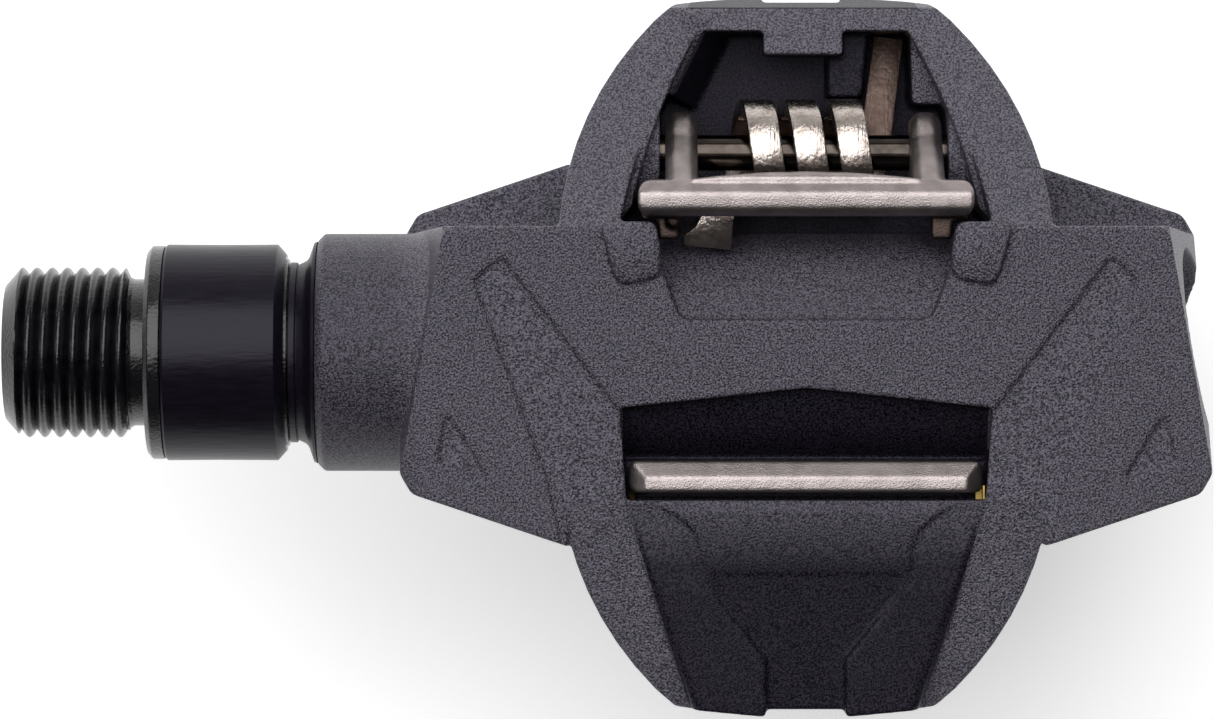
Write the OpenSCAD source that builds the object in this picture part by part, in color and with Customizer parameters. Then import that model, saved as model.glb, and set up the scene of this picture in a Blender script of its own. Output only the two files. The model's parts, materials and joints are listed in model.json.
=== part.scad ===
// Two-sided clipless bicycle pedal, left hand.
// X runs outboard along the spindle, Y to the heel side and Z up; the origin is on the axis, where the
// pedal thread ends at the neck. Each side carries a fixed front bar and a sprung rear bail, and the
// lower side is the upper side turned half round about the spindle axis.

/* [Spindle] */
// Major diameter of the pedal thread (9/16 inch)
thread_d = 14.29; // [14.2:0.01:14.35]
// Pitch of the pedal thread (20 turns to the inch)
thread_pitch = 1.27; // [1.2:0.01:1.3]
// Length of the pedal thread
thread_len = 10.4; // [9.5:0.1:12]
// Width across flats of the hexagon socket in the threaded end
socket_af = 8; // [6:1:8]
// Depth of the hexagon socket
socket_depth = 8; // [6:0.5:9]
// Diameter of the relief neck behind the thread
neck_d = 12.3; // [12:0.1:13]
// Outside diameter of the sleeve over the collar
sleeve_d = 18.1; // [17.6:0.1:18.6]
// Diameter of the shaft in the needle bearing
journal_d = 12; // [11.8:0.1:12.2]

/* [Bearings] */
// Outside diameter of both bearings
bearing_d = 16; // [15.8:0.1:16.2]
// Number of needle rollers
needle_count = 14; // [10:1:16]
// Number of bearing balls
ball_count = 9; // [6:1:10]
// Running clearance at every rolling or turning face
running_gap = 0.05; // [0.03:0.01:0.08]

/* [Body] */
// Outside diameter of the barrel that holds the bearings
barrel_d = 19.9; // [19.5:0.1:20.5]
// Distance from the origin to the middle of the wings and cage
body_x = 56.3; // [55:0.1:58]
// Height of the wing surface above the axis
wing_z = 10.5; // [10.2:0.1:11]
// Thickness of a wing where it overhangs
wing_t = 3; // [2.5:0.1:3.5]
// Depth of the recessed panels
panel_depth = 0.4; // [0.2:0.1:0.6]
// Height of the cavity floor
floor_z = -6.6; // [-7:0.1:-6]
// Height of the rounded pads above the wing
pad_h = 1.2; // [0.8:0.1:1.6]

/* [Bails] */
// Distance of a bail's pivot behind the spindle axis
pivot_y = 16.7; // [16.4:0.1:17]
// Height of a bail's pivot above the spindle axis
pivot_z = 1; // [0.5:0.1:1.5]
// Diameter of a pivot pin
pin_d = 3; // [2.8:0.1:3.2]
// Distance of a bail arm from the middle
arm_u = 10.2; // [10:0.1:10.4]
// Width of a bail arm
arm_w = 2.7; // [2.5:0.1:2.8]
// Half length of the rear bar
rear_bar_half = 13.85; // [13.5:0.05:14]
// Half length of the front bar
front_bar_half = 14.6; // [14.4:0.1:14.6]

/* [Springs] */
// Outside radius of the spring coil
coil_r = 4.5; // [4.2:0.1:4.6]
// Width of the flat spring wire
wire_w = 2.6; // [2.4:0.1:3]
// Thickness of the flat spring wire
wire_t = 1.3; // [1.1:0.1:1.4]
// Distance between the middles of neighbouring coils
coil_pitch = 3.65; // [3.4:0.05:3.8]

/* [Hidden] */
$fn = 96;
e = 0.01;
far = 40;
arc_steps = 5;

// Stations along the spindle
shoulder_x = 1.5;
ring_end = 2.9;
sleeve_end = 12.4;
flange_end = 13.3;
barrel_x = 15.7;
seal_end = 18;
needle_x = 19;
needle_len = 12;
waist_x = 33;
ball_x = 66;
ball_w = 5;
washer_t = 0.8;
nut_h = 4;
spindle_end = 77;
cap_x = 80.5;
cap_end = 84.3;
barrel_end = 84.8;

// Bearing radii
journal_r = journal_d / 2;
bearing_r = bearing_d / 2;
shell_t = 0.5;
needle_ring_r = (journal_r + bearing_r - shell_t) / 2;
needle_r = (bearing_r - shell_t - journal_r) / 2 - running_gap;
seat_r = 4;
ball_ring_r = (seat_r + bearing_r) / 2;
ball_r = 1.25;
race_r = ball_r + running_gap;
nut_r = 3;
cap_r = 8.6;
middle_bore_r = 7;

// Body
barrel_r = barrel_d / 2;
panel_z = wing_z - panel_depth;
wing_under = wing_z - wing_t;
cage_end_y = 30.1;
rim_y = 28.9;
tongue_y = 12.2;
// Web between a cavity and the recess of the other side: its height and where it ends
web_z = -3.5;
web_y = 13.4;
// Height of the ledge under the front bar
ledge_z = 7.1;
pocket_y = 26.9;
pin_r = pin_d / 2;
pin_half = 14.6;
boss_u = 12;

// ---- outlines ----

function unit(v) = v / norm(v);

// Arc that rounds the corner q = [x, y, radius] between its neighbours p and s
function corner(p, q, s) =
    let (
        at = [q[0], q[1]],
        a = unit([p[0], p[1]] - at),
        b = unit([s[0], s[1]] - at),
        half = acos(a * b) / 2,
        centre = at + unit(a + b) * q[2] / sin(half),
        first = at + a * q[2] / tan(half) - centre,
        last = at + b * q[2] / tan(half) - centre,
        start = atan2(first[1], first[0]),
        sweep = (atan2(last[1], last[0]) - start + 540) % 360 - 180
    )
    q[2] == 0
        ? [at]
        : [for (k = [0:arc_steps])
            let (turn = start + sweep * k / arc_steps)
            centre + q[2] * [cos(turn), sin(turn)]];

function rounded(pts) =
    let (n = len(pts))
    [for (i = [0:n - 1]) each corner(pts[(i + n - 1) % n], pts[i], pts[(i + 1) % n])];

// Half outline joined to its mirror image about the middle
function both_halves(pts) = concat(pts, [for (i = [len(pts) - 1:-1:0]) [-pts[i][0], pts[i][1], pts[i][2]]]);

// Shallow curve from p to q that stands sag proud of the straight line
function bow(p, q, sag, steps) =
    let (out = unit([q[1] - p[1], p[0] - q[0]]))
    [for (k = [0:steps])
        let (t = k / steps, at = p + (q - p) * t + out * 4 * sag * t * (1 - t))
        [at[0], at[1], 0]];

// ---- helpers ----

// Solid of revolution about the spindle axis from [x, radius] points
module turned(profile) {
    rotate([0, 90, 0]) rotate_extrude() polygon([for (p = profile) [p[1], p[0]]]);
}

module rod(x0, x1, r) {
    translate([x0, 0, 0]) rotate([0, 90, 0]) cylinder(h = x1 - x0, r = r);
}

module tube(x0, x1, r_out, r_in) {
    turned([[x0, r_in], [x1, r_in], [x1, r_out], [x0, r_out]]);
}

// Prism of a plan outline between two heights, in the pedal's own middle frame
module plan(pts, z0, z1) {
    translate([body_x, 0, z0]) linear_extrude(z1 - z0) polygon(rounded(pts));
}

// Prism of a side outline [y, z] between two distances from the middle
module side(pts, u0, u1) {
    translate([body_x + u0, 0, 0]) rotate([90, 0, 90]) linear_extrude(u1 - u0) polygon(rounded(pts));
}

module turned_over() {
    rotate([180, 0, 0]) children();
}

module both_sides() {
    children();
    turned_over() children();
}

// A shape and its mirror image about the middle
module mirrored() {
    for (s = [0, 1]) translate([s * 2 * body_x, 0, 0]) mirror([s, 0, 0]) children();
}

// Puts a shape drawn round the pivot axis in place on the upper side
module at_pivot() {
    translate([body_x, pivot_y, pivot_z]) children();
}

// ---- spindle and bearings ----

thread_depth = 0.67;
thread_flat = 0.25;
flank = (thread_pitch - 2 * thread_flat) / 2;
crest_count = floor((thread_len - thread_flat - flank - 0.2) / thread_pitch) + 1;
thread_r = thread_d / 2;
root_r = thread_r - thread_depth;
// Inner radius of the face that seats on the crank
seat_face_r = 7.3;

// Crest and root points of the thread, from the tip towards the neck
thread_profile = [
    for (i = [crest_count - 1:-1:0])
        let (x = -thread_flat - i * thread_pitch)
        each [[x - flank, root_r], [x, thread_r], [x + thread_flat, thread_r], [x + thread_flat + flank, root_r]]
];

module spindle() {
    color("#17181a")
    difference() {
        turned(concat(
            [[-thread_len, 0], [-thread_len, root_r - 0.8]],
            thread_profile,
            [
                [flank, neck_d / 2], [shoulder_x + 0.3, neck_d / 2], [shoulder_x + 0.3, seat_face_r],
                [shoulder_x, seat_face_r], [shoulder_x, 8.5], [shoulder_x + 0.4, 8.95], [ring_end, 8.95],
                [ring_end, 8.2], [flange_end - 0.2, 8.2], [flange_end - 0.2, 7.8], [flange_end, 7.8],
                [flange_end, journal_r], [waist_x, journal_r], [waist_x + 3, 4.6],
                [ball_x, 4.6], [ball_x, seat_r], [ball_x + ball_w, seat_r],
                [ball_x + ball_w, nut_r], [spindle_end - 0.5, nut_r], [spindle_end, nut_r - 0.5], [spindle_end, 0]
            ]
        ));
        translate([-thread_len - e, 0, 0]) rotate([0, 90, 0])
            cylinder(h = socket_depth, r = socket_af / 2 / cos(30), $fn = 6);
    }
}

module collar_sleeve() {
    color("#232427")
    turned([
        [ring_end, 8.2], [flange_end - 0.2, 8.2], [flange_end - 0.35, 8.35],
        [sleeve_end, sleeve_d / 2], [ring_end, sleeve_d / 2]
    ]);
}

module lip_seal() {
    color("#1d1e20")
    turned([
        [flange_end + 0.1, journal_r + running_gap], [seal_end, journal_r + running_gap],
        [seal_end, bearing_r], [barrel_x, bearing_r], [barrel_x, 9.35], [barrel_x - 0.2, 9.35],
        [barrel_x - 0.7, 8.5], [flange_end + 1.1, 7.8], [flange_end + 0.8, 7.55], [flange_end + 0.1, 7.55]
    ]);
}

module needle_shell() {
    color("silver")
    turned([
        [needle_x, journal_r + 0.3], [needle_x + shell_t, journal_r + 0.3],
        [needle_x + shell_t, bearing_r - shell_t], [needle_x + needle_len - shell_t, bearing_r - shell_t],
        [needle_x + needle_len - shell_t, journal_r + 0.3], [needle_x + needle_len, journal_r + 0.3],
        [needle_x + needle_len, bearing_r], [needle_x, bearing_r]
    ]);
}

module needle_ring() {
    for (i = [0:needle_count - 1])
        rotate([i * 360 / needle_count, 0, 0]) translate([0, 0, needle_ring_r]) children();
}

module needle_rollers() {
    color("lightsteelblue")
    needle_ring() rod(needle_x + 1.8, needle_x + needle_len - 1.8, needle_r);
}

module needle_cage() {
    color("goldenrod")
    difference() {
        tube(needle_x + 0.8, needle_x + needle_len - 0.8, needle_ring_r + 0.1, needle_ring_r - 0.45);
        needle_ring() rod(needle_x + 1.7, needle_x + needle_len - 1.7, needle_r + running_gap);
    }
}

ball_mid = ball_x + ball_w / 2;

module ball_race() {
    translate([ball_mid, 0, 0]) rotate([0, 90, 0])
        rotate_extrude() translate([ball_ring_r, 0]) circle(r = race_r, $fn = 48);
}

module ball_inner_ring() {
    color("silver")
    difference() {
        tube(ball_x, ball_x + ball_w, ball_ring_r - 0.8, seat_r);
        ball_race();
    }
}

module ball_outer_ring() {
    color("silver")
    difference() {
        tube(ball_x, ball_x + ball_w, bearing_r, ball_ring_r + 0.8);
        ball_race();
    }
}

module ball_ring() {
    for (i = [0:ball_count - 1])
        rotate([i * 360 / ball_count, 0, 0]) translate([ball_mid, 0, ball_ring_r]) children();
}

module bearing_balls() {
    color("gainsboro") ball_ring() sphere(r = ball_r, $fn = 48);
}

module ball_cage() {
    color("goldenrod")
    difference() {
        tube(ball_mid - 1.6, ball_mid + 1.6, ball_ring_r + 0.4, ball_ring_r - 0.4);
        ball_ring() sphere(r = race_r, $fn = 48);
    }
}

module shield(x) {
    color("#3a3a3e") tube(x, x + 0.3, ball_ring_r + 0.8, ball_ring_r - 0.5);
}

module bearing_shield_inner() {
    shield(ball_x + 0.2);
}

module bearing_shield_outer() {
    shield(ball_x + ball_w - 0.5);
}

module circlip() {
    color("#2b2b2e")
    difference() {
        tube(ball_x + ball_w, ball_x + ball_w + 1, bearing_r + 0.5, bearing_r - 0.9);
        translate([ball_x + ball_w - e, -1.5, 0]) cube([1 + 2 * e, 3, bearing_r + 1]);
    }
}

module lock_washer() {
    color("silver") tube(ball_x + ball_w, ball_x + ball_w + washer_t, 4.9, nut_r);
}

module lock_nut() {
    color("silver")
    translate([ball_x + ball_w + washer_t, 0, 0]) rotate([0, 90, 0]) difference() {
        cylinder(h = nut_h, r = 5 / cos(30), $fn = 6);
        translate([0, 0, -e]) cylinder(h = nut_h + 2 * e, r = nut_r);
    }
}

module end_cap() {
    color("#202225")
    difference() {
        rod(cap_x, cap_end, cap_r);
        translate([cap_end - 2.5, 0, 0]) rotate([0, 90, 0]) cylinder(h = 3, r = 3 / cos(30), $fn = 6);
    }
}

module cap_o_ring() {
    color("#111214") tube(cap_x - 1, cap_x, cap_r, cap_r - 1.1);
}

// ---- pedal body ----

wing_half = [[29.9, 10.4, 1.2], [33.5, -10, 1.2], [32.5, -11.7, 1.2], [19.7, -16, 0], [19.7, -tongue_y, 0]];
block_half = [[29.9, 10.4, 0], [33.5, -10, 0]];
cage_side_curve = bow([20.4, 10.2], [12.4, 27.85], 1.75, 8);
cage_half = concat(
    [[20.4, 0, 0]], cage_side_curve,
    [[10.75, 29.3, 0.8], [8.7, 29.6, 0], [3.4, cage_end_y, 0.2], [3.2, cage_end_y - 0.6, 0]]
);
// Half outline of the tongue, drawn in by inset at its sides and front
function tongue_half(inset) =
    concat(bow([14.6 - inset, inset], [9.05 - inset, 17.3], 0.55, 6), [[8.8 - inset, 19, 0]]);
rim_chamfer = 1;
// Half outline of the cavity between two distances behind the axis, drawn in by inset
function cavity_half(inset, y0, y1, sag) =
    concat([[15.3 - inset, y0, 0]], bow([15.3 - inset, y0 + 0.5], [9.8 - inset, y1], sag, 6));
strip_half = [
    [25.1, 8, 0.5], [27.45, 5.9, 0.8], [21.4, -10.4, 0], [20.2, -16.2, 0],
    [14, -16.2, 0], [14.45, -tongue_y, 0], [15.4, -4.75, 0]
];

// Side outlines of the cage and of the tongue that closes it, [y, z]
cage_profile = [
    [0, -panel_z, 0], [12, -panel_z, 0], [25.4, -8.4, 0.5], [cage_end_y + 0.3, -6.9, 0.5],
    [rim_y, 0, 0.4], [10.6, panel_z, 0.5], [0, panel_z, 0]
];
tongue_z = 10.3;
tongue_tilt = 3;
rim_tilt = atan(panel_z / (rim_y - 10.6));

module wing() {
    plan(both_halves(wing_half), wing_under, wing_z);
    // fillet under the overhang
    for (u = [-32.5, 19.9]) side(
        [
            [-9, wing_under + e, 0], [-12.2, wing_under + e, 0], [-10.1, wing_under - 0.1, 1.2],
            [-9.8, wing_under - 2.2, 0], [-9, wing_under - 2.2, 0]
        ],
        u, u + 12.6
    );
}

// Block between the wings, with end walls that run from one wing's edge to the other's
module block() {
    hull() {
        plan(both_halves(block_half), wing_under, wing_z - 0.5);
        turned_over() plan(both_halves(block_half), wing_under, wing_z - 0.5);
    }
}

module cage() {
    intersection() {
        plan(both_halves(cage_half), -far, far);
        side(cage_profile, -far, far);
    }
}

// One level of the tongue: depth below its outer face and how far its edge is drawn in
module tongue_level(depth, inset) {
    translate([0, 0, depth]) linear_extrude(e) polygon(rounded(both_halves(tongue_half(inset))));
}

module tongue() {
    difference() {
        intersection() {
            translate([body_x, tongue_y, -tongue_z]) rotate([tongue_tilt, 0, 0]) hull() {
                tongue_level(0, 1.1);
                tongue_level(0.1, 0.55);
                tongue_level(0.45, 0.12);
                tongue_level(1, 0);
                tongue_level(2.6, 0);
            }
            plan(both_halves(cage_half), -far, far);
        }
        tongue_channel();
        tongue_cheeks();
    }
}

// Middle of the tongue, which falls away towards its end
module tongue_channel() {
    intersection() {
        plan(both_halves([[7.9, 18.2, 0], [7.5, 20.2, 0.6], [3.3, 25.3, 0.6], [3.1, far, 0]]), -far, far);
        side([[18.2, -9.9, 0], [far, -7.6, 0], [far, -12, 0], [18.2, -12, 0]], -far, far);
    }
}

// Slightly sunk facets at the front corners of the tongue
module tongue_cheeks() {
    intersection() {
        mirrored() plan(
            [
                [8.2, 19.5, 0], [8.7, 16, 0], [9.1, 14.8, 0], [10.6, 13.4, 0],
                [12.9, 12.1, 0], [20, 12.1, 0], [20, 19.5, 0]
            ],
            -far, far
        );
        side([[12, -12, 0], [12, 0.35 - tongue_z, 0], [19.5, -9.9, 0], [19.5, -12, 0]], -far, far);
    }
}

// Cavity under the rim, down to the height z0
module cavity_well(z0) {
    half = concat([[15.3, 7, 0], [15.3, 11, 0]], cavity_half(rim_chamfer, 12.2, pocket_y, 0.5));
    plan(both_halves(half), z0, wing_under);
}

module cavity() {
    cavity_well(web_z);
    intersection() {
        cavity_well(floor_z);
        translate([0, web_y, -far]) cube([3 * far, far, 2 * far]);
    }
    plan(both_halves(cavity_half(0, 10.4, pocket_y, 0.5)), wing_under - 1, far);
    // chamfer along the sloping inner edges of the arms
    slope_len = (pocket_y - 10.6) / cos(rim_tilt);
    translate([body_x, 10.6, panel_z]) rotate([-rim_tilt, 0, 0]) hull() {
        linear_extrude(2) polygon(rounded(both_halves(cavity_half(0, 0.2, slope_len, 0.5))));
        translate([0, 0, -1.3]) linear_extrude(e)
            polygon(rounded(both_halves(cavity_half(rim_chamfer, 0.2, slope_len, 0.5))));
    }
}

// Opening ahead of the front bar, down to the barrel
module front_recess() {
    ahead = [[15.35, -4.6, 0], [0, -2.95, 0], [-15.35, -4.6, 0]];
    plan(concat(ahead, [[-14.8, -tongue_y, 0], [14.8, -tongue_y, 0]]), ledge_z, far);
    plan(concat(ahead, [[-15.03, -9, 0], [15.03, -9, 0]]), 1.5 - web_z, far);
}

// Opening ahead of the rear bar, down to the barrel
module rear_scoop() {
    plan(both_halves([[12.6, 12, 0], [12.6, 8.85, 0], [10.4, 2.7, 1.3]]), 0, far);
}

module panels() {
    mirrored() {
        plan(strip_half, panel_z, far);
        plan([[29.7, -4.6, 0.4], [30.4, -9, 0.5], [25.8, -10.8, 0.3]], panel_z, far);
    }
}

module pad() {
    intersection() {
        plan(
            [[17, 10.75, 0.6], [12.4, 10.75, 0.8], [11.95, 8.2, 0], [12, 6.2, 0.9], [15.6, 5.5, 1]],
            wing_z - 1, wing_z + 2
        );
        translate([body_x + 14.4, 8.6, wing_z + pad_h - 6.5]) sphere(r = 6.5);
    }
}

module pads() {
    mirrored() pad();
}

// Seats of the pivot pin, the spring's tail boss and gusset, and the tab on the rim
module cavity_details() {
    for (s = [-1, 1]) side(
        [
            [pivot_y - 4, floor_z, 0], [pivot_y - 4, pivot_z + 4, 3.9],
            [pivot_y + 4, pivot_z + 4, 3.9], [pivot_y + 4, floor_z, 0]
        ],
        s > 0 ? boss_u : -16, s > 0 ? 16 : -boss_u
    );
    back = pocket_y + 0.5;
    plan([[2.2, 21.5, 0.4], [5, 21.5, 0.4], [5.6, back, 0], [2.2, back, 0]], floor_z - e, -2.5);
    plan([[9.2, 20.8, 0.4], [14, 20.8, 0], [11, back, 0], [9, back, 0]], floor_z - e, 0.5);
    // wall that slopes down to the floor at the inboard rear corner
    translate([body_x - 6, 26.85, 0]) rotate([90, 0, -26]) linear_extrude(6.9)
        polygon([[0, floor_z - e], [-2.2, 1], [-4, 1], [-4, floor_z - e]]);
    intersection() {
        plan(both_halves([[3.3, 24.9, 0.3], [3.3, rim_y - 1, 0]]), -3.2, 3);
        side(cage_profile, -5, 5);
    }
}

module pedal_body() {
    color("#3d4046")
    difference() {
        union() {
            difference() {
                union() {
                    block();
                    both_sides() {
                        wing();
                        cage();
                        tongue();
                    }
                }
                both_sides() {
                    cavity();
                    front_recess();
                    rear_scoop();
                    panels();
                }
            }
            turned([
                [barrel_x, bearing_r - 1], [barrel_x, barrel_r - 0.6], [barrel_x + 0.6, barrel_r],
                [barrel_end, barrel_r], [barrel_end, bearing_r - 1]
            ]);
            both_sides() {
                cavity_details();
                pads();
            }
        }
        rod(barrel_x - 1, needle_x + needle_len, bearing_r);
        rod(needle_x, ball_x, middle_bore_r);
        rod(ball_x, cap_x, bearing_r);
        tube(ball_x + ball_w, ball_x + ball_w + 1, bearing_r + 0.5, bearing_r - 1);
        rod(cap_x - 1, far * 3, cap_r);
        both_sides() {
            at_pivot() rod(-pin_half, pin_half, pin_r);
            front_bar_legs();
        }
    }
}

// ---- bars, pins and springs of the upper side ----

module front_bar_legs() {
    mirrored() side(
        [[-11.5, ledge_z - 1.3, 0], [-9.1, ledge_z - 1.3, 0], [-9.1, 8, 0], [-11.5, 8, 0]],
        front_bar_half - 1.6, front_bar_half - 0.4
    );
}

module front_bar() {
    color("#8d8480")
    union() {
        intersection() {
            side(
                [[-11.6, 7.6, 0], [-8.95, 7.6, 0], [-8.95, 9.4, 0.3], [-10.3, 10.35, 0.3], [-11.6, 10.35, 0.35]],
                -far, far
            );
            plan(both_halves([[front_bar_half, -8.95, 0.7], [front_bar_half, -11.6, 0.7]]), 0, far);
            translate([body_x, 0, 0]) rotate([90, 0, 0]) linear_extrude(far) polygon(rounded(both_halves(
                [[front_bar_half, 0, 0], [front_bar_half, 9.2, 0.4], [13.2, 10.4, 0.4]]
            )));
        }
        front_bar_legs();
    }
}

// Thin plate that seats the front bar, with an ear turned up at each end
module bar_shim() {
    outer = front_bar_half + 0.15;
    color("#b08a2e")
    difference() {
        union() {
            side([[-11.55, ledge_z, 0], [-9.6, ledge_z, 0], [-9.6, 7.6, 0], [-11.55, 7.6, 0]], -14.2, 14.2);
            side([[-12.15, ledge_z, 0], [-11, ledge_z, 0], [-11, 7.6, 0], [-12.15, 7.6, 0]], 14.1, outer);
            side([[-12.15, ledge_z, 0], [-11, ledge_z, 0], [-11, 9.4, 0], [-12.15, 9.4, 0]], front_bar_half, outer);
            side([[-12.15, ledge_z, 0], [-11.5, ledge_z, 0], [-11.5, 7.6, 0], [-12.15, 8.6, 0]], -14.5, -14.1);
        }
        front_bar_legs();
    }
}

module pivot_pin() {
    color("#2a2622") at_pivot() rod(-pin_half, pin_half, pin_r);
}

bar_section = [
    [11.2, 8.9, 0.5], [11.2, 10.2, 0.4], [11.8, 10.9, 0.4], [13.1, 11, 0.3],
    [14.2, 10.1, 0.4], [14.3, 8.9, 0.5], [13.6, 8.5, 0.3], [11.8, 8.5, 0.3]
];
crown_section = [
    [13, 9, 0], [13, 10.2, 0], [13.95, 10.2, 0], [14.35, 10.5, 0.2], [14.95, 9.8, 0.4], [14.95, 9, 0.3]
];
// Side outline of a bail arm, drawn in by inset at its front and back
function arm_outline(inset) = [
    [19.5 - 0.84 * inset, 2 - 0.54 * inset, 0], [14.2 - 0.84 * inset, 10.2 - 0.54 * inset, 0],
    [11.6 + 0.97 * inset, 9.3 + 0.24 * inset, 0], [13.9 + 0.97 * inset, 0.24 * inset - 0.1, 0]
];
eye_r = 3.4;
arm_edge = 0.7;

module bail_arm(u) {
    difference() {
        union() {
            translate([u, 0, 0]) at_pivot() turned([
                [-arm_w / 2, 0], [-arm_w / 2, eye_r - arm_edge], [arm_edge - arm_w / 2, eye_r],
                [arm_w / 2 - arm_edge, eye_r], [arm_w / 2, eye_r - arm_edge], [arm_w / 2, 0]
            ]);
            hull() {
                side(arm_outline(arm_edge), u - arm_w / 2, u + arm_w / 2);
                side(arm_outline(0), u - arm_w / 2 + arm_edge, u + arm_w / 2 - arm_edge);
            }
        }
        at_pivot() rod(u - arm_w, u + arm_w, pin_r + running_gap);
    }
}

module rear_bail() {
    color("#8d8480")
    union() {
        intersection() {
            union() {
                side(bar_section, -far, far);
                side(crown_section, -9.4, 9.4);
            }
            plan(concat(
                [[-rear_bar_half, 11.1, 1.1], [rear_bar_half, 11.1, 1.1], [rear_bar_half, 14.25, 1.1]],
                bow([9.8, 14.25], [-9.8, 14.25], 0.65, 8),
                [[-rear_bar_half, 14.25, 1.1]]
            ), 0, far);
        }
        for (s = [-1, 1]) bail_arm(s * arm_u);
        // feet that reach forward under the bar
        mirrored() {
            plan(
                [
                    [10.4, 9.3, 0.3], [12.2, 9.3, 0.3], [12.2, 10.75, 0],
                    [13.6, 10.9, 0.3], [13.6, 11.7, 0.3], [10.4, 12.6, 0]
                ],
                6.7, 8.3
            );
            plan([[10.4, 11.3, 0], [13, 11.3, 0], [13, 12.2, 0], [10.4, 12.2, 0]], 8.2, 9);
        }
        // nub that keeps the spring's hook in place
        translate([body_x - 10.9, 10.9, 7.4]) cylinder(h = 2, r = 0.6);
    }
}

coil_mid = 0.55;
coil_half = coil_pitch + wire_w / 2;
groove = (coil_pitch - wire_w) / 2;

module torsion_spring() {
    color("#c9c2b8")
    union() {
        at_pivot() difference() {
            rod(coil_mid - coil_half, coil_mid + coil_half, coil_r);
            rod(-far, far, coil_r - wire_t);
            for (gap = [coil_mid - coil_pitch / 2, coil_mid + coil_pitch / 2])
                tube(gap - groove, gap + groove, coil_r + 1, coil_r - 0.8);
        }
        // tail from the bottom of the coil to the cavity floor
        translate([body_x + 4.8, pivot_y - 1.5, pivot_z - coil_r]) cube([wire_w, 3, wire_t]);
        translate([body_x + 5.1, pivot_y, pivot_z - coil_r]) rotate([-17, 0, -4]) cube([wire_w, 9.6, wire_t]);
        // hook up the front of the coil and forward under the rear bar
        translate([body_x, pivot_y - coil_r + wire_t, 0]) rotate([90, 0, 0]) linear_extrude(wire_t)
            polygon([[-5.6, pivot_z - 1.5], [-3, pivot_z - 1.5], [-5.9, 7.9], [-8.5, 7.9]]);
        side(
            [[9.2, 6.1, 0], [13.5, 6.6, 0], [13.5, 7.9, 0], [10.9, 8.2, 0], [10.2, 8.2, 0], [9.2, 7.2, 0]],
            -8.5, -5.9
        );
        side([[9.2, 6.1, 0], [10.2, 6.1, 0], [10.2, 8.2, 0], [9.2, 7.2, 0]], -10, -5.9);
    }
}

module front_bar_a() { front_bar(); }
module front_bar_b() { turned_over() front_bar(); }
module bar_shim_a() { bar_shim(); }
module bar_shim_b() { turned_over() bar_shim(); }
module pivot_pin_a() { pivot_pin(); }
module pivot_pin_b() { turned_over() pivot_pin(); }
module rear_bail_a() { rear_bail(); }
module rear_bail_b() { turned_over() rear_bail(); }
module torsion_spring_a() { torsion_spring(); }
module torsion_spring_b() { turned_over() torsion_spring(); }

spindle();
collar_sleeve();
lip_seal();
needle_shell();
needle_cage();
needle_rollers();
ball_inner_ring();
ball_outer_ring();
ball_cage();
bearing_balls();
bearing_shield_inner();
bearing_shield_outer();
circlip();
lock_washer();
lock_nut();
end_cap();
cap_o_ring();
pedal_body();
front_bar_a();
front_bar_b();
bar_shim_a();
bar_shim_b();
pivot_pin_a();
pivot_pin_b();
rear_bail_a();
rear_bail_b();
torsion_spring_a();
torsion_spring_b();
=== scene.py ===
import json
import math
from functools import partial

import bmesh
import bpy
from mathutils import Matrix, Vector


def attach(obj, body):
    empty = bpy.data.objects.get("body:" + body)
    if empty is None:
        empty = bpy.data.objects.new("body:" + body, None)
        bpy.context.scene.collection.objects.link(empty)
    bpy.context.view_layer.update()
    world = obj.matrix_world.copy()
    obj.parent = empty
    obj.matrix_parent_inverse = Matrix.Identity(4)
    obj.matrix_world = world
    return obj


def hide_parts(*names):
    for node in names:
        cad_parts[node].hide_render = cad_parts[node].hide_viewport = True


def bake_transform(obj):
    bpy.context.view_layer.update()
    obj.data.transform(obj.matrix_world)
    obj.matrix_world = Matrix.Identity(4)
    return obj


# Looks of a two-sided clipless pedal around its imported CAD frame. Metres; X outboard, Y to the heel, Z up.

MM = 0.001
TURN = 2 * math.pi

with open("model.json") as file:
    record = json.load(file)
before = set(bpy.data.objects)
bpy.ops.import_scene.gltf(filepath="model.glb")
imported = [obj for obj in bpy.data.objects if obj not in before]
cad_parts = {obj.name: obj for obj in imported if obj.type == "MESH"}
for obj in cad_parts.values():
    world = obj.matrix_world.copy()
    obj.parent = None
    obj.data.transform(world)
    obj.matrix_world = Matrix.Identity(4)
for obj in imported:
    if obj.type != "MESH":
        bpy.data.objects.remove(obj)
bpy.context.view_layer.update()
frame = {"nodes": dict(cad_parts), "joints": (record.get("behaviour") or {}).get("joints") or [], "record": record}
nodes = frame["nodes"]
joint_at = {j["name"]: Vector(j["pos_m"]) for j in frame["joints"]}
scene = bpy.context.scene

# Middle of the wings and cage, and the pivot of the upper bail
pivot_a = joint_at["bail_a_pivot"]
middle_x = pivot_a.x


# ---- camera, floor and light ----

CAMERA_HEIGHT = 0.56
CAMERA_X = 0.0399
CAMERA_Y = -0.0006
LENS = 198
FLOOR_Z = -0.036


def make_camera():
    data = bpy.data.cameras.new("camera")
    data.lens = LENS
    data.sensor_width = 36
    data.clip_start = 0.01
    camera = bpy.data.objects.new("camera", data)
    camera.location = (CAMERA_X, CAMERA_Y, CAMERA_HEIGHT)
    scene.collection.objects.link(camera)
    scene.camera = camera


def area_light(name, place, target, size, power):
    data = bpy.data.lights.new(name, "AREA")
    data.shape = "RECTANGLE"
    data.size, data.size_y = size
    data.energy = power
    light = bpy.data.objects.new(name, data)
    light.location = place
    light.rotation_euler = (Vector(target) - Vector(place)).to_track_quat("-Z", "Y").to_euler()
    scene.collection.objects.link(light)


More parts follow.
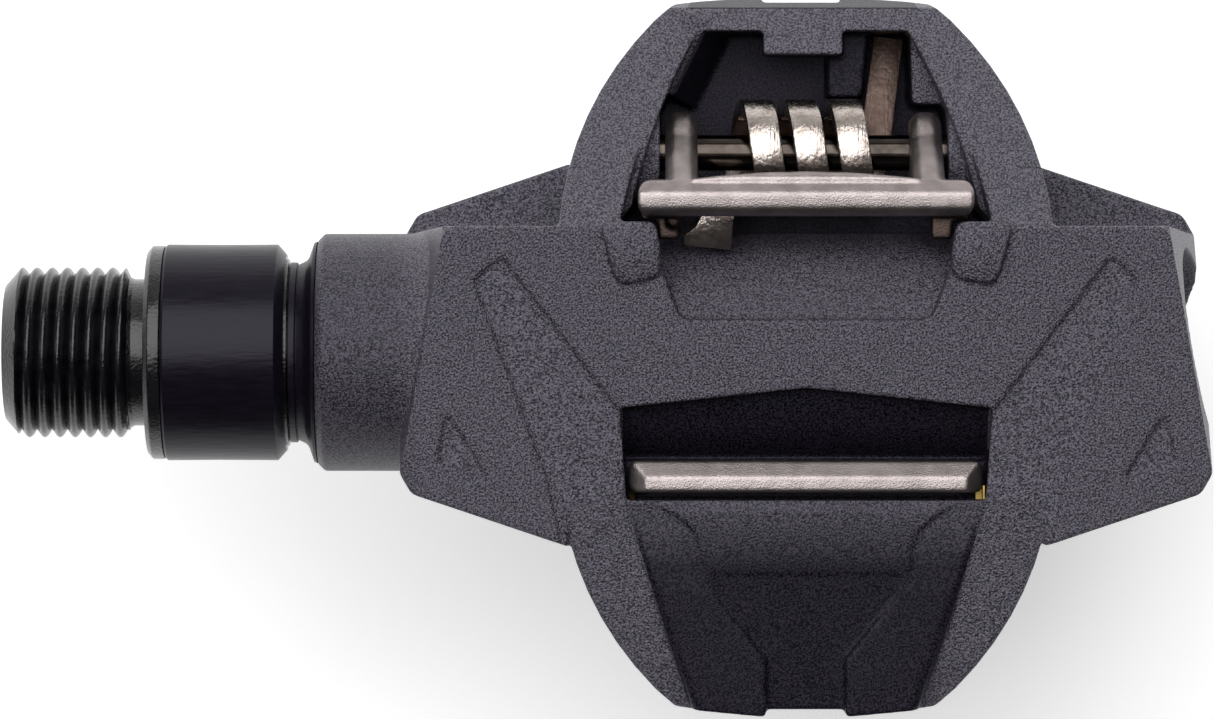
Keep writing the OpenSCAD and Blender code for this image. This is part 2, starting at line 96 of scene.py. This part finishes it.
def make_light():
    """One large softbox from overhead towards the heel side, in a dim room."""
    world = bpy.data.worlds.new("studio")
    world.use_nodes = True
    world.node_tree.nodes["Background"].inputs["Color"].default_value = (1, 1, 1, 1)
    world.node_tree.nodes["Background"].inputs["Strength"].default_value = 0.05
    scene.world = world
    scene.view_settings.view_transform = "Standard"
    aim = (middle_x, 0, 0)
    area_light("overhead_softbox", (-0.05, 0.3, 0.745), aim, (0.95, 0.85), 8.4)
    area_light("heel_card", (0.05, 0.95, 0.2), aim, (1.2, 0.5), 1.1)
    area_light("left_strip", (-0.8, 0.1, 0.35), aim, (0.15, 0.6), 0.35)


def make_floor():
    bpy.ops.mesh.primitive_plane_add(size=3, location=(middle_x, 0, FLOOR_Z))
    floor = bpy.context.object
    floor.name = "floor"
    floor.data.materials.append(floor_material())


# ---- materials ----

WING_DARK = (0.008, 0.007, 0.012)
WING_LIGHT = (0.13, 0.12, 0.147)
COOL_SHEEN = (0.89, 0.85, 1, 1)


def new_material(name, color, roughness, metallic=0.0, coat=0.0, specular=0.5):
    material = bpy.data.materials.new(name)
    material.use_nodes = True
    shader = material.node_tree.nodes["Principled BSDF"]
    shader.inputs["Base Color"].default_value = (*color, 1)
    shader.inputs["Roughness"].default_value = roughness
    shader.inputs["Metallic"].default_value = metallic
    shader.inputs["Coat Weight"].default_value = coat
    shader.inputs["Specular IOR Level"].default_value = specular
    return material, material.node_tree, shader


def add(tree, kind, **settings):
    node = tree.nodes.new(kind)
    for key, value in settings.items():
        if key in node.inputs:
            node.inputs[key].default_value = value
        else:
            setattr(node, key, value)
    return node


def noise(tree, scale, detail=2.0, stretch=(1, 1, 1)):
    """Noise over the object's own coordinates, scale in features per metre."""
    place = add(tree, "ShaderNodeTexCoord")
    mapping = add(tree, "ShaderNodeMapping")
    mapping.inputs["Scale"].default_value = stretch
    texture = add(tree, "ShaderNodeTexNoise", Scale=scale, Detail=detail)
    tree.links.new(place.outputs["Object"], mapping.inputs["Vector"])
    tree.links.new(mapping.outputs["Vector"], texture.inputs["Vector"])
    return texture


def vary_color(tree, shader, factor, dark, light, low=0.35, high=0.65):
    ramp = add(tree, "ShaderNodeValToRGB")
    ramp.color_ramp.elements[0].position = low
    ramp.color_ramp.elements[0].color = (*dark, 1)
    ramp.color_ramp.elements[1].position = high
    ramp.color_ramp.elements[1].color = (*light, 1)
    tree.links.new(factor, ramp.inputs["Fac"])
    tree.links.new(ramp.outputs["Color"], shader.inputs["Base Color"])
    return ramp


def vary_roughness(tree, shader, factor, low, high):
    span = add(tree, "ShaderNodeMapRange")
    span.inputs["To Min"].default_value = low
    span.inputs["To Max"].default_value = high
    tree.links.new(factor, span.inputs["Value"])
    tree.links.new(span.outputs["Result"], shader.inputs["Roughness"])
    return span.outputs["Result"]


def add_bump(tree, shader, height, distance, below=None):
    bump = add(tree, "ShaderNodeBump", Distance=distance, Strength=1.0)
    tree.links.new(height, bump.inputs["Height"])
    if below is not None:
        tree.links.new(below.outputs["Normal"], bump.inputs["Normal"])
    tree.links.new(bump.outputs["Normal"], shader.inputs["Normal"])
    return bump


def floor_material():
    material, tree, shader = new_material("floor", (0.93, 0.93, 0.93), 0.9, specular=0.1)
    shade = noise(tree, 3)
    vary_color(tree, shader, shade.outputs["Fac"], (0.92, 0.92, 0.92), (0.94, 0.94, 0.94))
    shader.inputs["Emission Color"].default_value = (1, 1, 1, 1)
    shader.inputs["Emission Strength"].default_value = 0.45
    return material


def cap_plastic():
    """Fine spark-eroded grain with slight mottling, as on glass-filled nylon."""
    light = (0.028, 0.026, 0.031)
    material, tree, shader = new_material("cap_plastic", light, 0.42)
    mottle = noise(tree, 2600, 3)
    vary_color(tree, shader, mottle.outputs["Fac"], (0.01, 0.0095, 0.0115), light)
    fine = noise(tree, 4000, 3)
    add_bump(tree, shader, fine.outputs["Fac"], 0.00006)
    vary_roughness(tree, shader, fine.outputs["Fac"], 0.34, 0.5)
    return material


def math_node(tree, operation, *values):
    node = add(tree, "ShaderNodeMath", operation=operation)
    for slot, value in enumerate(values):
        if isinstance(value, (int, float)):
            node.inputs[slot].default_value = value
        else:
            tree.links.new(value, node.inputs[slot])
    return node.outputs[0]


def mix_color(tree, shader, factor, tint, color):
    """Multiplies a colour by the tint where the factor is one."""
    tone = add(tree, "ShaderNodeMix", data_type="RGBA", blend_type="MULTIPLY")
    tone.inputs[7].default_value = (*tint, 1)
    tree.links.new(factor, tone.inputs[0])
    tree.links.new(color, tone.inputs[6])
    tree.links.new(tone.outputs[2], shader.inputs["Base Color"])


def object_parts(tree):
    place = add(tree, "ShaderNodeTexCoord")
    parts = add(tree, "ShaderNodeSeparateXYZ")
    tree.links.new(place.outputs["Object"], parts.inputs["Vector"])
    return parts.outputs["X"], parts.outputs["Y"], parts.outputs["Z"]


# Smooth regions of the moulding, which also carry painted shade, in metres from the middle of the cage and the
# spindle's axis
HOLLOW_HALF_WIDTH = 0.0189
HOLLOW_TAPER = 0.32
HOLLOW_STEP = 0.0038
HOLLOW_FROM = 0.0028
TONGUE_UNTIL = 0.0121
CAVITY_TOP = 0.006
TONGUE_EXTRA = 0.0039
SCOOP_HALF_WIDTH = 0.0094
SCOOP_TAPER = 0.36
WING_FACE = 0.0104
SHADE_AND_SMOOTH_AT_SCOOP = 0.3
SMOOTH_AND_DARK_AT_BARREL = 0.45

# Change per metre and offset, where one finish fades into another
TONGUE_FADE = (110, -0.95)
BARREL_FADE = (-160, 4.0)

# Painted shade: this tint darkens the colour in the cavities and in the scoops between the pads, where shadow
# falls; on the tongue it is partly painted shade and partly a darker finish, and it darkens the barrel less.
SMOOTH_FINISH_AND_SHADE_TINT = (0.18, 0.168, 0.212)


def smooth_and_shaded_regions(tree):
    """Mask of the smoother finish and of painted shade: one in tongues and cavities, less in the scoops between
    the pads and on the barrel, zero elsewhere.
    """
    calc = partial(math_node, tree)
    x, y, z = object_parts(tree)
    behind = calc("ABSOLUTE", y)
    height = calc("ABSOLUTE", z)
    aside = calc("ABSOLUTE", calc("SUBTRACT", x, middle_x))
    ahead = calc("LESS_THAN", behind, TONGUE_UNTIL)
    toe_half = calc("LESS_THAN", calc("MULTIPLY", y, z), 0.0)
    heel_half = calc("SUBTRACT", 1.0, toe_half)

    tapered = calc("MULTIPLY_ADD", behind, HOLLOW_TAPER, aside)
    edge = calc("MAXIMUM", tapered, calc("ADD", aside, HOLLOW_STEP))
    inside = calc("LESS_THAN", edge, HOLLOW_HALF_WIDTH)
    past_edge = calc("GREATER_THAN", behind, HOLLOW_FROM)
    deep = calc("LESS_THAN", height, calc("MULTIPLY_ADD", ahead, TONGUE_EXTRA, CAVITY_TOP))
    fade = calc("MAXIMUM", calc("MULTIPLY_ADD", behind, *TONGUE_FADE), deep)
    level = calc("MINIMUM", calc("MULTIPLY", past_edge, fade), 1.0)
    # Cavities and tongue of the toe half: full painted shade and smoother grain
    hollow_shade_and_smooth = calc("MULTIPLY", calc("MULTIPLY", inside, toe_half), level)

    # Scoops between the pads on the heel half: painted shade and smoother grain, at reduced strength
    in_scoop = calc("LESS_THAN", calc("MULTIPLY_ADD", behind, -SCOOP_TAPER, aside), SCOOP_HALF_WIDTH)
    sunk = calc("MULTIPLY", calc("LESS_THAN", height, WING_FACE), ahead)
    scoop = calc("MULTIPLY", calc("MULTIPLY", sunk, in_scoop), heel_half)

    barrel = calc("MINIMUM", calc("MULTIPLY_ADD", x, *BARREL_FADE), SMOOTH_AND_DARK_AT_BARREL)
    part_smooth_and_shade = calc("MAXIMUM", barrel, calc("MULTIPLY", scoop, SHADE_AND_SMOOTH_AT_SCOOP))
    return calc("MAXIMUM", hollow_shade_and_smooth, part_smooth_and_shade)


def body_nylon():
    """Sparkling spark-eroded grain; the smooth regions have less grain and reflect less, and a tint darkens them:
    painted shade in the cavities and scoops, partly painted shade on the tongue, less on the barrel.
    """
    material, tree, shader = new_material("body_nylon", (0.02, 0.019, 0.023), 0.4)
    shader.inputs["Specular Tint"].default_value = COOL_SHEEN
    smooth = smooth_and_shaded_regions(tree)
    mottle = noise(tree, 6200, 2)
    ramp = vary_color(tree, shader, mottle.outputs["Fac"], WING_DARK, WING_LIGHT, 0.42, 0.58)
    # Painted shade: the colour is multiplied darker wherever the mask is set
    mix_color(tree, shader, smooth, SMOOTH_FINISH_AND_SHADE_TINT, ramp.outputs["Color"])
    gloss = math_node(tree, "MULTIPLY_ADD", smooth, -0.53, 0.65)
    tree.links.new(gloss, shader.inputs["Specular IOR Level"])
    grain = noise(tree, 6000, 2)
    bump = add_bump(tree, shader, grain.outputs["Fac"], 0.0002)
    tree.links.new(math_node(tree, "MULTIPLY_ADD", smooth, -0.82, 1.0), bump.inputs["Strength"])
    vary_roughness(tree, shader, grain.outputs["Fac"], 0.36, 0.46)
    return material


FOOT_TOP = 0.0096
FOOT_REACH = 0.0114
# Painted shade: darker brownish tint on the feet under the rear bar, where the bar's shadow falls
FOOT_SHADE_TINT = (0.17, 0.14, 0.127)


def cast_steel():
    """Satin casting; the feet under the rear bar get a darker tint, painted shade for the shadow under the bar."""
    material, tree, shader = new_material("cast_steel", (0.36, 0.32, 0.31), 0.36, metallic=1.0)
    calc = partial(math_node, tree)
    _, y, z = object_parts(tree)
    under = calc("LESS_THAN", calc("ABSOLUTE", z), FOOT_TOP)
    forward = calc("LESS_THAN", calc("ABSOLUTE", y), FOOT_REACH)
    heel_half = calc("GREATER_THAN", calc("MULTIPLY", y, z), 0.0)
    foot_shade = calc("MULTIPLY", calc("MULTIPLY", under, forward), heel_half)
    tone = noise(tree, 700, 3)
    ramp = vary_color(tree, shader, tone.outputs["Fac"], (0.3, 0.262, 0.256), (0.39, 0.342, 0.336))
    # Painted shade on the feet under the rear bar
    mix_color(tree, shader, foot_shade, FOOT_SHADE_TINT, ramp.outputs["Color"])
    pitted = noise(tree, 7500, 2)
    add_bump(tree, shader, pitted.outputs["Fac"], 0.00004)
    vary_roughness(tree, shader, tone.outputs["Fac"], 0.34, 0.42)
    return material


TAIL_FROM = 0.0172
HOOK_UNTIL = 0.0105
DULL_AT_HOOK = 0.4
TAIL_TINT = (0.19, 0.152, 0.14)


def bright_nickel():
    """Bright but pitted coils; the tail is tinted darker, rougher and scratched, and so, less, is the hook's
    plate.
    """
    material, tree, shader = new_material("bright_nickel", (0.72, 0.66, 0.62), 0.16, metallic=1.0)
    calc = partial(math_node, tree)
    _, y, z = object_parts(tree)
    behind = calc("GREATER_THAN", calc("ABSOLUTE", y), TAIL_FROM)
    low = calc("LESS_THAN", calc("MULTIPLY", y, z), -0.00001)
    hook = calc("LESS_THAN", calc("ABSOLUTE", y), HOOK_UNTIL)
    tail = calc("MULTIPLY", behind, low)
    dull = calc("MULTIPLY_ADD", hook, DULL_AT_HOOK, tail)
    tone = noise(tree, 900, 4)
    ramp = vary_color(tree, shader, tone.outputs["Fac"], (0.42, 0.355, 0.32), (0.6, 0.54, 0.5))
    mix_color(tree, shader, dull, TAIL_TINT, ramp.outputs["Color"])
    patina = noise(tree, 2600, 4)
    pits = add_bump(tree, shader, patina.outputs["Fac"], 0.00005)
    drawn = noise(tree, 5200, 3, (1, 0.1, 0.3))
    add_bump(tree, shader, drawn.outputs["Fac"], 0.00004, below=pits)
    shine = vary_roughness(tree, shader, patina.outputs["Fac"], 0.16, 0.34)
    tree.links.new(calc("MULTIPLY_ADD", dull, 0.22, shine), shader.inputs["Roughness"])
    return material


def metal(name, dark, light, rough_low, rough_high, scale=900):
    material, tree, shader = new_material(name, light, rough_high, metallic=1.0)
    tone = noise(tree, scale, 3)
    vary_color(tree, shader, tone.outputs["Fac"], dark, light)
    vary_roughness(tree, shader, tone.outputs["Fac"], rough_low, rough_high)
    add_bump(tree, shader, tone.outputs["Fac"], 0.00002)
    return material


def black_spindle():
    material, tree, shader = new_material(
        "black_spindle_steel", (0.012, 0.012, 0.014), 0.2, coat=0.25, specular=0.4
    )
    tone = noise(tree, 800, 4)
    vary_color(tree, shader, tone.outputs["Fac"], (0.002, 0.002, 0.003), (0.006, 0.005, 0.007))
    spots = noise(tree, 3800, 3)
    add_bump(tree, shader, spots.outputs["Fac"], 0.00006)
    vary_roughness(tree, shader, tone.outputs["Fac"], 0.14, 0.34)
    return material


def soft_black(name, color, roughness, bump, scale, stretch=(1, 1, 1)):
    material, tree, shader = new_material(name, color, roughness, specular=0.2)
    shader.inputs["Specular Tint"].default_value = COOL_SHEEN
    grain = noise(tree, scale, 3, stretch)
    vary_color(tree, shader, grain.outputs["Fac"], [0.8 * c for c in color], [1.25 * c for c in color])
    add_bump(tree, shader, grain.outputs["Fac"], bump)
    vary_roughness(tree, shader, grain.outputs["Fac"], roughness - 0.06, roughness + 0.08)
    return material


SLEEVE_BLACK = (0.0055, 0.0045, 0.008)

materials = {
    "black_spindle_steel": black_spindle(),
    "matte_sleeve": soft_black("matte_sleeve", SLEEVE_BLACK, 0.3, 0.00002, 3000, (0.15, 1, 1)),
    "seal_rubber": soft_black("seal_rubber", SLEEVE_BLACK, 0.36, 0.00003, 2500),
    "bearing_steel": metal("bearing_steel", (0.5, 0.5, 0.52), (0.7, 0.7, 0.72), 0.12, 0.22),
    "bearing_cage": soft_black("bearing_cage", (0.3, 0.24, 0.14), 0.5, 0.00003, 2500),
    "cap_plastic": cap_plastic(),
    "body_nylon": body_nylon(),
    "cast_steel": cast_steel(),
    "yellow_zinc": metal("yellow_zinc", (0.26, 0.17, 0.05), (0.42, 0.3, 0.1), 0.35, 0.55),
    "pin_steel": metal("pin_steel", (0.035, 0.029, 0.026), (0.08, 0.066, 0.056), 0.12, 0.22, 600),
    "bright_nickel": bright_nickel(),
}


def paint_cad_nodes():
    slots = {s["node"]: s["material_slot"] for s in frame["record"]["subparts"]}
    for name, obj in nodes.items():
        obj.data.materials.clear()
        obj.data.materials.append(materials[slots[name]])


# ---- mesh helpers ----

def link(name, mesh):
    obj = bpy.data.objects.new(name, mesh)
    scene.collection.objects.link(obj)
    return obj


def finish_piece(obj, body, slot, *replaced):
    obj.data.materials.clear()
    obj.data.materials.append(materials[slot])
    if replaced:
        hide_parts(*replaced)
    if body:
        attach(obj, body)


def apply_modifiers(obj):
    graph = bpy.context.evaluated_depsgraph_get()
    mesh = bpy.data.meshes.new_from_object(obj.evaluated_get(graph))
    obj.modifiers.clear()
    obj.data = mesh


def softened_copy(node, name, voxel, smoothing, faces):
    """Copy of a CAD node with every edge rounded as a mould or casting leaves it."""
    obj = link(name, nodes[node].data.copy())
    remesh = obj.modifiers.new("remesh", "REMESH")
    remesh.mode = "VOXEL"
    remesh.voxel_size = voxel
    remesh.adaptivity = 0
    smooth = obj.modifiers.new("smooth", "SMOOTH")
    smooth.factor = 0.5
    smooth.iterations = smoothing
    apply_modifiers(obj)
    count = 2 * len(obj.data.polygons)
    if count > faces:
        thin = obj.modifiers.new("thin", "DECIMATE")
        thin.ratio = faces / count
        apply_modifiers(obj)
    for polygon in obj.data.polygons:
        polygon.use_smooth = True
    return obj


def mesh_piece(name, points, faces):
    """Object from points in millimetres, with doubled points merged and normals outward."""
    mesh = bpy.data.meshes.new(name)
    mesh.from_pydata([Vector(p) * MM for p in points], [], faces)
    fix = bmesh.new()
    fix.from_mesh(mesh)
    bmesh.ops.remove_doubles(fix, verts=fix.verts, dist=1e-7)
    bmesh.ops.dissolve_degenerate(fix, edges=fix.edges, dist=1e-7)
    bmesh.ops.recalc_face_normals(fix, faces=fix.faces)
    fix.to_mesh(mesh)
    fix.free()
    for polygon in mesh.polygons:
        polygon.use_smooth = True
    mesh.set_sharp_from_angle(angle=math.radians(38))
    return link(name, mesh)


def skin(rings, closed=False, capped=False):
    """Points and faces of a surface through rings of equal length, each a closed loop."""
    size = len(rings[0])
    points = [p for ring in rings for p in ring]
    faces = []
    for i in range(len(rings) if closed else len(rings) - 1):
        j = (i + 1) % len(rings)
        for k in range(size):
            n = (k + 1) % size
            faces.append((i * size + k, i * size + n, j * size + n, j * size + k))
    if capped:
        last = (len(rings) - 1) * size
        faces.append(tuple(range(size)))
        faces.append(tuple(last + k for k in range(size)))
    return points, faces


FILLET_STEPS = 4


def fillet(points):
    """Replaces each (x, y, radius) corner of an open line by an arc, and gives (x, y) points."""
    out = []
    for i, (x, y, radius) in enumerate(points):
        at = Vector((x, y))
        if radius == 0 or i in (0, len(points) - 1):
            out.append(at)
            continue
        before = Vector(points[i - 1][:2]) - at
        after = Vector(points[i + 1][:2]) - at
        half = before.angle(after) / 2
        reach = min(radius / math.tan(half), 0.48 * before.length, 0.48 * after.length)
        start, end = at + before.normalized() * reach, at + after.normalized() * reach
        for k in range(FILLET_STEPS + 1):
            t = k / FILLET_STEPS
            out.append(start.lerp(at, t).lerp(at.lerp(end, t), t))
    return out


SEGMENTS = 120


def ring_at(x, radius):
    turns = [TURN * k / SEGMENTS for k in range(SEGMENTS)]
    return [(x, radius * math.cos(turn), radius * math.sin(turn)) for turn in turns]


def hexagon_at(x, across):
    """Hexagon with corners up and down, carried by the same number of points as a ring."""
    out = []
    for k in range(SEGMENTS):
        turn = TURN * k / SEGMENTS
        radius = across / 2 / math.cos((turn + TURN / 12) % (TURN / 6) - TURN / 12)
        out.append((x, radius * math.cos(turn), radius * math.sin(turn)))
    return out


def rings_of(profile):
    """Rings about X through a profile of (x, radius, corner radius) points."""
    return [ring_at(*point) for point in fillet(profile)]


def close_end(points, faces):
    """Adds a face over the last ring."""
    last = len(points) - SEGMENTS
    return points, faces + [tuple(last + k for k in range(SEGMENTS))]


def joined(*parts):
    points, faces = [], []
    for more_points, more_faces in parts:
        faces += [tuple(len(points) + n for n in face) for face in more_faces]
        points += more_points
    return points, faces


# ---- pieces ----

THREAD_PITCH = 1.27
THREAD_LEN = 10.4
CREST_R = 7.145
ROOT_R = 6.42
THREAD_NOSE_R = 5.7
THREAD_RUNOUT_R = 6.3
SAMPLES_PER_TURN = 16


def thread_radius(phase):
    """Radius over one pitch, phase 0 to 1: a broad rounded crest and a narrow root."""
    from_crest = 1 - abs(phase - 0.5) * 2
    return CREST_R - (CREST_R - ROOT_R) * from_crest ** 1.8


def thread():
    """Rows of points that climb one pitch each turn, clamped to the thread's ends and chamfers."""
    dx = THREAD_PITCH / SAMPLES_PER_TURN
    rows = int(THREAD_LEN / dx) + SAMPLES_PER_TURN + 2
    points, faces = [], []
    for i in range(rows):
        for k in range(SEGMENTS):
            x = -THREAD_LEN + i * dx - THREAD_PITCH * k / SEGMENTS
            phase = i % SAMPLES_PER_TURN / SAMPLES_PER_TURN
            clamped = min(0.0, max(-THREAD_LEN, x))
            limit = min(THREAD_NOSE_R + 1.15 * (clamped + THREAD_LEN), THREAD_RUNOUT_R - 2.2 * clamped)
            radius = min(limit, thread_radius(phase))
            turn = TURN * k / SEGMENTS
            points.append((clamped, radius * math.cos(turn), radius * math.sin(turn)))
    for i in range(rows - 1):
        row, above = i * SEGMENTS, (i + 1) * SEGMENTS
        for k in range(SEGMENTS - 1):
            faces.append((row + k, row + k + 1, above + k + 1, above + k))
        if i >= SAMPLES_PER_TURN:
            start = (i - SAMPLES_PER_TURN) * SEGMENTS
            faces.append((row + SEGMENTS - 1, start, start + SEGMENTS, above + SEGMENTS - 1))
    return points, faces


# Profiles of (x, radius, corner radius), in millimetres
SHAFT = [
    (0, 6.3, 0), (0.35, 6.15, 0.3), (1.8, 6.15, 0.2), (1.8, 7.3, 0), (1.5, 7.3, 0), (1.5, 8.5, 0),
    (1.9, 8.95, 0.25), (2.9, 8.95, 0.15), (2.9, 8.2, 0), (13.1, 8.2, 0), (13.1, 7.8, 0), (13.3, 7.8, 0),
    (13.3, 6, 0), (33, 6, 0), (36, 4.6, 0), (66, 4.6, 0), (66, 4, 0), (71, 4, 0), (71, 3, 0),
    (76.5, 3, 0), (77, 2.5, 0)
]
SLEEVE = [
    (2.95, 8.2, 0), (2.95, 8.88, 0), (3.15, 9.05, 0.12), (7.6, 9.02, 0), (12.35, 9.05, 0.15),
    (13, 8.3, 0.15), (13.1, 8.2, 0)
]
SEAL = [
    (13.4, 6.05, 0), (13.4, 7.55, 0.12), (14.0, 7.55, 0.12), (14.05, 7.35, 0.05), (14.9, 7.75, 0.9),
    (15.4, 9.2, 0.12), (15.65, 9.3, 0), (15.65, 8, 0), (18, 8, 0), (18, 6.05, 0)
]
CAP = [(80.5, 8.6, 0), (84.0, 8.6, 0), (84.3, 8.3, 0.1), (84.3, 7.4, 0), (84.1, 7.2, 0), (84.1, 4.2, 0)]
KEY_SIZE = 8
CAP_KEY_SIZE = 6


def make_spindle():
    """Left-hand pedal thread, hexagon socket, neck, shoulder ring and inner shaft."""
    socket = [
        ring_at(-THREAD_LEN, THREAD_NOSE_R), ring_at(-THREAD_LEN, 4.95), hexagon_at(-THREAD_LEN + 0.25, 8.1),
        hexagon_at(-THREAD_LEN + 0.5, KEY_SIZE), hexagon_at(-THREAD_LEN + 8, KEY_SIZE)
    ]
    shape = joined(thread(), close_end(*skin(rings_of(SHAFT))), close_end(*skin(socket)))
    spindle = mesh_piece("spindle_with_helical_thread", *shape)
    finish_piece(spindle, "spindle", "black_spindle_steel", "spindle")


def make_turned_parts():
    sleeve = mesh_piece("sleeve_moulded", *skin(rings_of(SLEEVE), closed=True))
    finish_piece(sleeve, "spindle", "matte_sleeve", "collar_sleeve")
    seal = mesh_piece("seal_flared_lip", *skin(rings_of(SEAL), closed=True))
    finish_piece(seal, "pedal_body", "seal_rubber", "lip_seal")
    key = [hexagon_at(84.1, 6.4), hexagon_at(83.9, CAP_KEY_SIZE), hexagon_at(81.8, CAP_KEY_SIZE)]
    cap = mesh_piece("end_cap_moulded", *skin(rings_of(CAP) + key, capped=True))
    finish_piece(cap, "pedal_body", "cap_plastic", "end_cap")


def make_body():
    body = softened_copy("pedal_body", "body_moulding", voxel=0.17 * MM, smoothing=5, faces=195000)
    finish_piece(body, "pedal_body", "body_nylon", "pedal_body")


def make_bars():
    for side in "ab":
        fixed, sprung = "front_bar_" + side, "rear_bail_" + side
        bar = softened_copy(fixed, "front_bar_cast_" + side, voxel=0.12 * MM, smoothing=14, faces=40000)
        finish_piece(bar, "pedal_body", "cast_steel", fixed)
        bail = softened_copy(sprung, "rear_bail_cast_" + side, voxel=0.12 * MM, smoothing=32, faces=60000)
        finish_piece(bail, "bail_" + side, "cast_steel", sprung)


COIL_R = 3.85
COIL_PITCH = 3.65
COIL_START = -3.1
COIL_STEPS = 130
FIRST_DEGREE, LAST_DEGREE = 90, 1250
WIRE_W = 2.6
WIRE_T = 1.3
HALF_W = WIRE_W / 2

# Across from the middle of the cage, Y and Z in millimetres, then the distance to each side of the wire
HOOK = [
    (-7.6, 9.0, 6.5, 2.5, 1.5), (-7.5, 9.7, 7.0, 2.6, 1.5), (-7.4, 10.3, 7.4, 1.7, 1.4),
    (-7.2, 10.95, 7.6, 1.4, 1.3), (-7.0, 11.6, 7.15, 1.3, 1.3), (-6.7, 12.25, 5.8, 1.3, 1.3),
    (-6.3, 12.7, 3.7, 1.3, 1.3)
]
TAIL = [(6.35, 18.6, -3.05), (6.6, 20.5, -3.6), (6.95, 23, -4.35), (7.4, 26.4, -5.3)]


def spring_stations():
    """Middle line of the upper spring's flat wire: place, distance to each side, from hook to tail."""
    mid, y0, z0 = middle_x / MM, pivot_a.y / MM, pivot_a.z / MM
    out = [(Vector((mid + u, y, z)), left, right) for u, y, z, left, right in HOOK]
    for i in range(COIL_STEPS + 1):
        turn = FIRST_DEGREE + (LAST_DEGREE - FIRST_DEGREE) * i / COIL_STEPS
        a = math.radians(turn)
        u = COIL_START + COIL_PITCH * (turn - 360) / 360
        place = Vector((mid + u, y0 - COIL_R * math.sin(a), z0 + COIL_R * math.cos(a)))
        out.append((place, HALF_W, HALF_W))
    out += [(Vector((mid + u, y, z)), HALF_W, HALF_W) for u, y, z in TAIL]
    return out


BEVEL = 0.16


def wire_section(left, right):
    """Flat wire outline with rolled corners: across, then through its thickness."""
    half = WIRE_T / 2
    corners = [(-left, -half, 1, 1), (right, -half, -1, 1), (right, half, -1, -1), (-left, half, 1, -1)]
    out = []
    for k, (x, y, sx, sy) in enumerate(corners):
        along, across = (x + sx * BEVEL, y), (x, y + sy * BEVEL)
        mid = (x + sx * BEVEL * 0.3, y + sy * BEVEL * 0.3)
        out += [across, mid, along] if k % 2 == 0 else [along, mid, across]
    return out


def make_springs():
    """Sweeps each spring's flat wire from the hook to the tail; the second spring is the first turned half a turn
    about X.
    """
    stations = spring_stations()
    places = [place for place, _, _ in stations]
    rings = []
    for i, (place, left, right) in enumerate(stations):
        tangent = (places[min(len(places) - 1, i + 1)] - places[max(0, i - 1)]).normalized()
        across = (Vector((1, 0, 0)) - tangent * tangent.x).normalized()
        out = across.cross(tangent)
        rings.append([place + across * x + out * y for x, y in wire_section(left, right)])
    points, faces = skin(rings, capped=True)
    for side, flip in (("a", 1), ("b", -1)):
        turned = [(p[0], p[1] * flip, p[2] * flip) for p in points]
        spring = mesh_piece("spring_flat_wire_" + side, turned, faces)
        finish_piece(spring, None, "bright_nickel", "torsion_spring_" + side)
        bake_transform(spring)


# ---- assembly ----

make_camera()
make_light()
make_floor()
paint_cad_nodes()
make_spindle()
make_turned_parts()
make_body()
make_bars()
make_springs()
